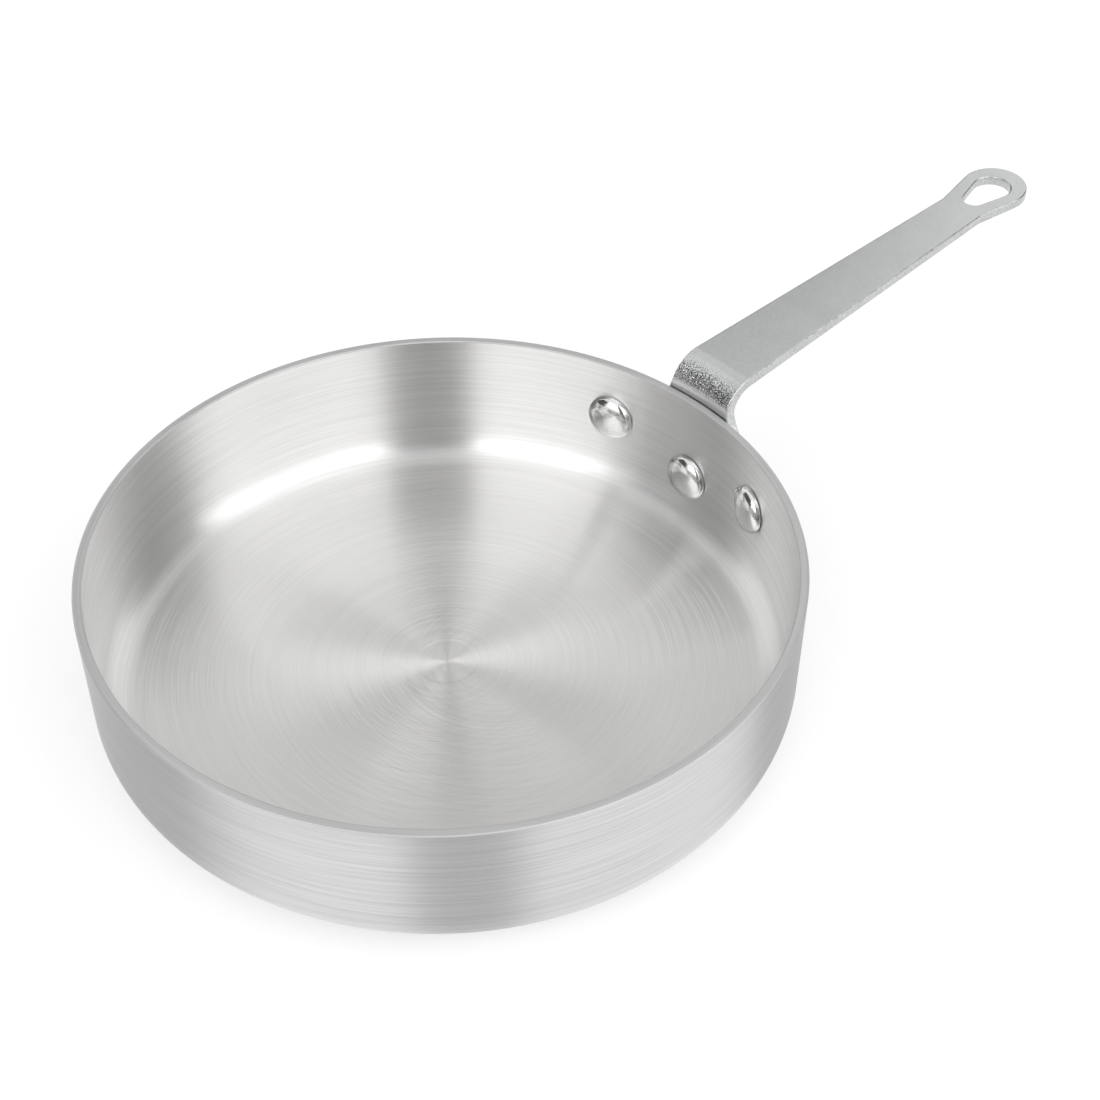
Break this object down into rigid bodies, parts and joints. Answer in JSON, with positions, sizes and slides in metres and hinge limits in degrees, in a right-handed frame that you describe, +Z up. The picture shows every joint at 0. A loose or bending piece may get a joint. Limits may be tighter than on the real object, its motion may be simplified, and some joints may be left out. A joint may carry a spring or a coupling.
{
  "type": "saute pan",
  "caption": "Straight-walled round aluminium saute pan, with a flat steel strip handle bent up from a flange riveted to the wall and pierced by a teardrop hanging eye.",
  "frame": {"origin": "centre of the flat base, level with the surface that the pan stands on", "axes": "+X from the pan's axis along the handle, +Y to the left seen from the pan along the handle, +Z up out of the pan"},
  "size_m": [0.4185, 0.24, 0.0806],
  "materials": {
    "pan_body": "spun, finely brushed in circles round the pan's axis",
    "handle": "satin plated steel, a little rough where it is bent",
    "rivet": "polished"
  },
  "bodies": {
    "root": {"pan_body": "pan_body", "handle": "handle", "rivet_upper_left": "rivet", "rivet_upper_right": "rivet", "rivet_lower": "rivet"}
  },
  "joints": []
}
